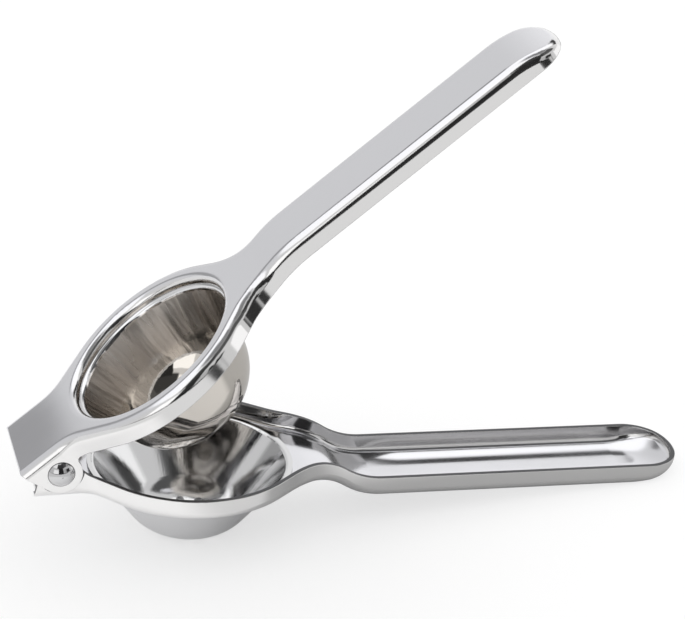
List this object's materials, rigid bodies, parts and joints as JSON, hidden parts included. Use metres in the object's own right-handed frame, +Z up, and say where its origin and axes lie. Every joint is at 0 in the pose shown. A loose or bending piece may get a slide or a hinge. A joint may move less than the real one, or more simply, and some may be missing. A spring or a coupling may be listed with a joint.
{
  "type": "hinged citrus squeezer",
  "caption": "Open two-handled citrus squeezer of pressed stainless steel: a press cup in the upper ring hinges over a drained bowl in the lower ring.",
  "frame": {"origin": "centre of the bounding box in plan, on the plane that the bowl and the lower handle's tip rest on", "axes": "+X from the hinge towards the handles' ends, +Y along the rivet, +Z up"},
  "size_m": [0.2336, 0.076, 0.1646],
  "materials": {
    "arm_steel": "polished",
    "cup_steel": "satin",
    "bowl_steel": "polished",
    "rivet_steel": "polished"
  },
  "bodies": {
    "lower": {"lower_arm": "arm_steel", "strainer_bowl": "bowl_steel"},
    "upper": {"upper_arm": "arm_steel", "press_cup": "cup_steel", "hinge_rivet": "rivet_steel"}
  },
  "joints": [
    {"name": "hinge", "type": "hinge", "parent": "lower", "child": "upper", "pos_m": [-0.10361, 0, 0.03605], "axis": [0, -1, 0], "range_deg": [-39.35, 38]}
  ]
}
